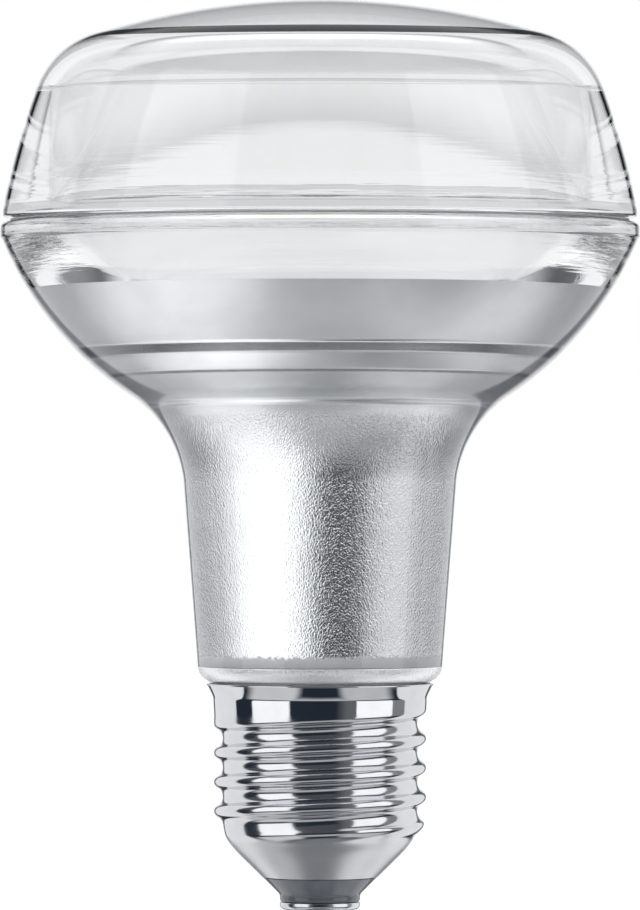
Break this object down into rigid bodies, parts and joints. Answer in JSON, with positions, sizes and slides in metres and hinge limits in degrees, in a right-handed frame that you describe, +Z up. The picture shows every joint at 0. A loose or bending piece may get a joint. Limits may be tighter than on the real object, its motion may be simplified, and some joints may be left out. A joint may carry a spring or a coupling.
{
  "type": "led reflector light bulb",
  "caption": "Reflector light bulb with a clear domed glass front, a glass bowl and neck coated with metal inside, and a standard screw cap",
  "frame": {"origin": "the flat tip of the centre contact, on the lamp's axis", "axes": "+Z runs up the axis from the contact tip to the front glass; the crests of the right-hand thread pass the -X side 16.13 mm above the origin"},
  "size_m": [0.0794, 0.0794, 0.1131],
  "materials": {
    "coated_glass": "clear glass with a bright metal coat on its inner face",
    "clear_glass": "polished clear glass",
    "rim_bond": "cured grey bond line",
    "nickel_plate": "bright nickel plate",
    "cap_cement": "dull",
    "insulator_glass": "dark moulded glass, glossy",
    "drawn_aluminium": "satin",
    "thermal_pad": "matt",
    "light_board": "white solder mask on aluminium",
    "light_package": "yellow phosphor in a white package",
    "screw_steel": "zinc plated",
    "housing_plastic": "fine matt",
    "board_laminate": "green lacquer",
    "film_case": "dipped lacquer",
    "ferrite": "matt",
    "copper_wire": "enamelled",
    "capacitor_sleeve": "shrunk sleeve",
    "black_resin": "moulded",
    "resistor_coat": "lacquer",
    "tinned_lead": "tinned"
  },
  "bodies": {
    "root": {"glass_bowl": "coated_glass", "front_dome": "clear_glass", "rim_adhesive": "rim_bond", "cap_shell": "nickel_plate", "cap_cement": "cap_cement", "cap_insulator": "insulator_glass", "centre_contact": "nickel_plate", "contact_pin": "nickel_plate", "heat_spreader": "drawn_aluminium", "thermal_pad": "thermal_pad", "led_board": "light_board", "led_1": "light_package", "led_2": "light_package", "led_3": "light_package", "led_4": "light_package", "led_5": "light_package", "led_6": "light_package", "led_7": "light_package", "board_screw_1": "screw_steel", "board_screw_2": "screw_steel", "board_screw_3": "screw_steel", "driver_housing": "housing_plastic", "driver_board": "board_laminate", "film_capacitor": "film_case", "inductor_core": "ferrite", "inductor_winding": "copper_wire", "bulk_capacitor": "capacitor_sleeve", "driver_chip": "black_resin", "bridge_rectifier": "black_resin", "fusible_resistor": "resistor_coat", "contact_wire": "tinned_lead", "shell_wire": "tinned_lead", "output_pin_1": "tinned_lead", "output_pin_2": "tinned_lead"}
  },
  "joints": []
}
